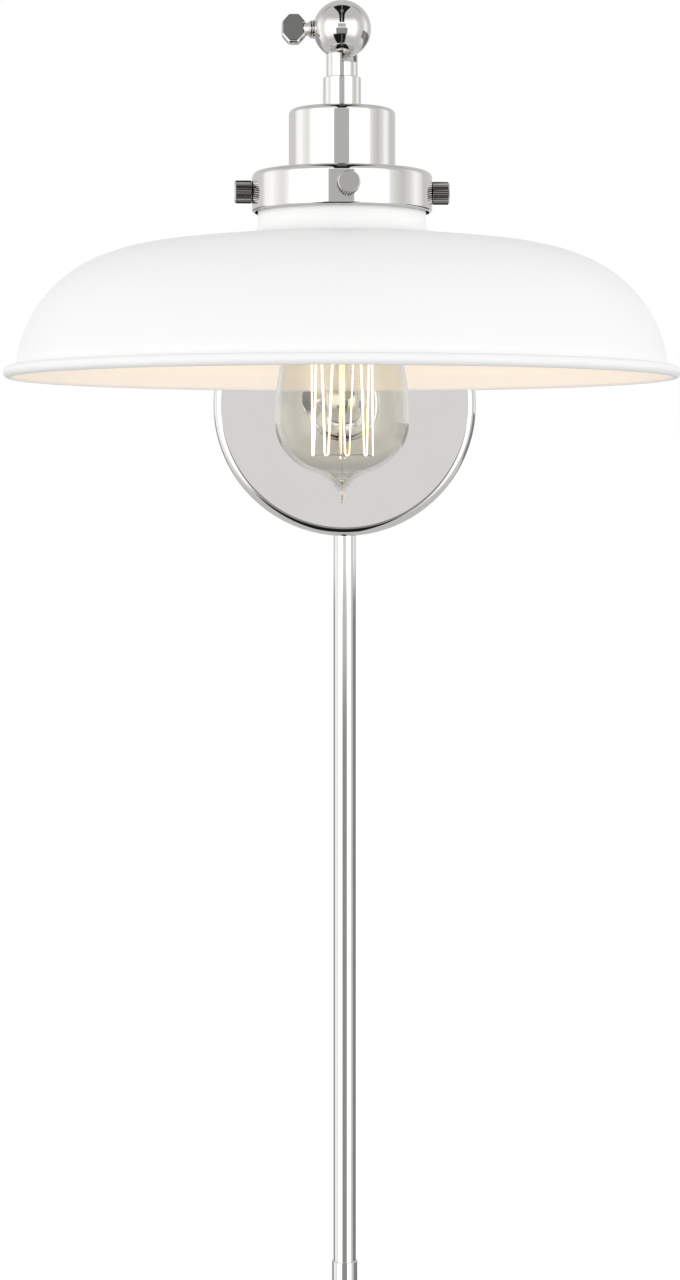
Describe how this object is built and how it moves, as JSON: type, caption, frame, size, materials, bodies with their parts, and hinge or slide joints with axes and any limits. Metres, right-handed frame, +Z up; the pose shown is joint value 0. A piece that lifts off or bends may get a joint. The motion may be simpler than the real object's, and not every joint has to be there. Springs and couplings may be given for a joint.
{
  "type": "swing arm wall sconce",
  "caption": "Wall sconce with a round plate and cord cover, a swinging and tilting arm on ball swivels, and a wide dome shade over a clear lamp.",
  "frame": {"origin": "centre of the wall plate's back, in the wall plane, where the bracket's slot pattern is centred", "axes": "+Y into the wall, -Y towards the room, +Z up, +X to the right when facing the wall"},
  "size_m": [0.3049, 0.4905, 0.6711],
  "materials": {
    "polished_nickel": "polished nickel plate on brass and steel, mirror bright",
    "zinc_steel": "zinc plated steel",
    "brass": "plain turned or drawn brass",
    "green_steel": "green dyed grounding screw",
    "connector_plastic": "moulded plastic",
    "lead_insulation": "lead insulation",
    "black_plastic": "black nylon",
    "porcelain": "glazed porcelain",
    "white_paint": "matte white powder coat on spun steel",
    "clear_glass": "clear blown glass, slightly smoky",
    "base_glass": "black vitrite glass",
    "support_wire": "fine molybdenum wire",
    "filament_glow": "glowing filament"
  },
  "bodies": {
    "wall": {"backplate": "polished_nickel", "mounting_bracket": "zinc_steel", "ground_screw": "green_steel", "hub": "polished_nickel", "hub_nipple": "brass", "nipple_nut": "brass", "nipple_washer": "zinc_steel", "wire_connectors": "connector_plastic", "hub_leads": "lead_insulation", "swing_yoke": "polished_nickel", "swing_pin": "zinc_steel", "pin_cap_nuts": "polished_nickel", "cord_tube": "polished_nickel", "tube_ferrule": "polished_nickel", "ferrule_bush": "black_plastic", "tube_studs": "zinc_steel"},
    "knuckle": {"swing_tongue": "polished_nickel", "tongue_bush": "brass", "tongue_washers": "black_plastic", "wall_ball_half": "polished_nickel", "wall_ball_washer": "polished_nickel"},
    "wall_screw": {"wall_swivel_screw": "polished_nickel"},
    "arm": {"arm_lower_ball_half": "polished_nickel", "arm_lower_collar": "polished_nickel", "arm_tube": "polished_nickel", "arm_leads": "lead_insulation", "arm_upper_collar": "polished_nickel", "arm_upper_ball_half": "polished_nickel"},
    "head": {"head_ball_half": "polished_nickel", "head_ball_washer": "polished_nickel", "stem_collar": "polished_nickel", "stem_nipple": "brass", "stem_nut": "zinc_steel", "head_leads": "lead_insulation", "socket_cup": "polished_nickel", "lampholder_body": "porcelain", "lampholder_shell": "brass", "lampholder_contact": "brass", "holder_ring": "zinc_steel", "shade_holder": "polished_nickel", "shade": "white_paint"},
    "head_screw": {"head_swivel_screw": "polished_nickel"},
    "screw_front": {"holder_screw_front": "polished_nickel"},
    "screw_right": {"holder_screw_right": "polished_nickel"},
    "screw_rear": {"holder_screw_rear": "polished_nickel"},
    "screw_left": {"holder_screw_left": "polished_nickel"},
    "lamp": {"bulb_glass": "clear_glass", "bulb_base": "brass", "bulb_contact": "base_glass", "bulb_stem": "clear_glass", "filament_supports": "support_wire", "filament": "filament_glow"}
  },
  "joints": [
    {"name": "arm_swing", "type": "hinge", "parent": "wall", "child": "knuckle", "pos_m": [0, -0.056, 0], "axis": [0, 0, 1], "range_deg": [-65, 65]},
    {"name": "arm_tilt", "type": "hinge", "parent": "knuckle", "child": "arm", "pos_m": [0, -0.09, 0], "axis": [-1, 0, 0], "range_deg": [-60, 45]},
    {"name": "wall_screw_turn", "type": "hinge", "parent": "arm", "child": "wall_screw", "pos_m": [0, -0.09, 0], "axis": [-1, 0, 0], "range_deg": [-180, 180]},
    {"name": "shade_tilt", "type": "hinge", "parent": "arm", "child": "head", "pos_m": [0, -0.338, 0.16], "axis": [-1, 0, 0], "range_deg": [-5, 85]},
    {"name": "head_screw_turn", "type": "hinge", "parent": "arm", "child": "head_screw", "pos_m": [0, -0.338, 0.16], "axis": [-1, 0, 0], "range_deg": [-180, 180]},
    {"name": "holder_screw_front_turn", "type": "hinge", "parent": "head", "child": "screw_front", "pos_m": [0, -0.338, 0.08605], "axis": [0.0698, -0.9976, 0], "range_deg": [-180, 180]},
    {"name": "holder_screw_right_turn", "type": "hinge", "parent": "head", "child": "screw_right", "pos_m": [0, -0.338, 0.08605], "axis": [0.9976, 0.0698, 0], "range_deg": [-180, 180]},
    {"name": "holder_screw_rear_turn", "type": "hinge", "parent": "head", "child": "screw_rear", "pos_m": [0, -0.338, 0.08605], "axis": [-0.0698, 0.9976, 0], "range_deg": [-180, 180]},
    {"name": "holder_screw_left_turn", "type": "hinge", "parent": "head", "child": "screw_left", "pos_m": [0, -0.338, 0.08605], "axis": [-0.9976, -0.0698, 0], "range_deg": [-180, 180]},
    {"name": "bulb_turn", "type": "hinge", "parent": "head", "child": "lamp", "pos_m": [0, -0.338, 0], "axis": [0, 0, 1], "range_deg": [-360, 0]}
  ]
}
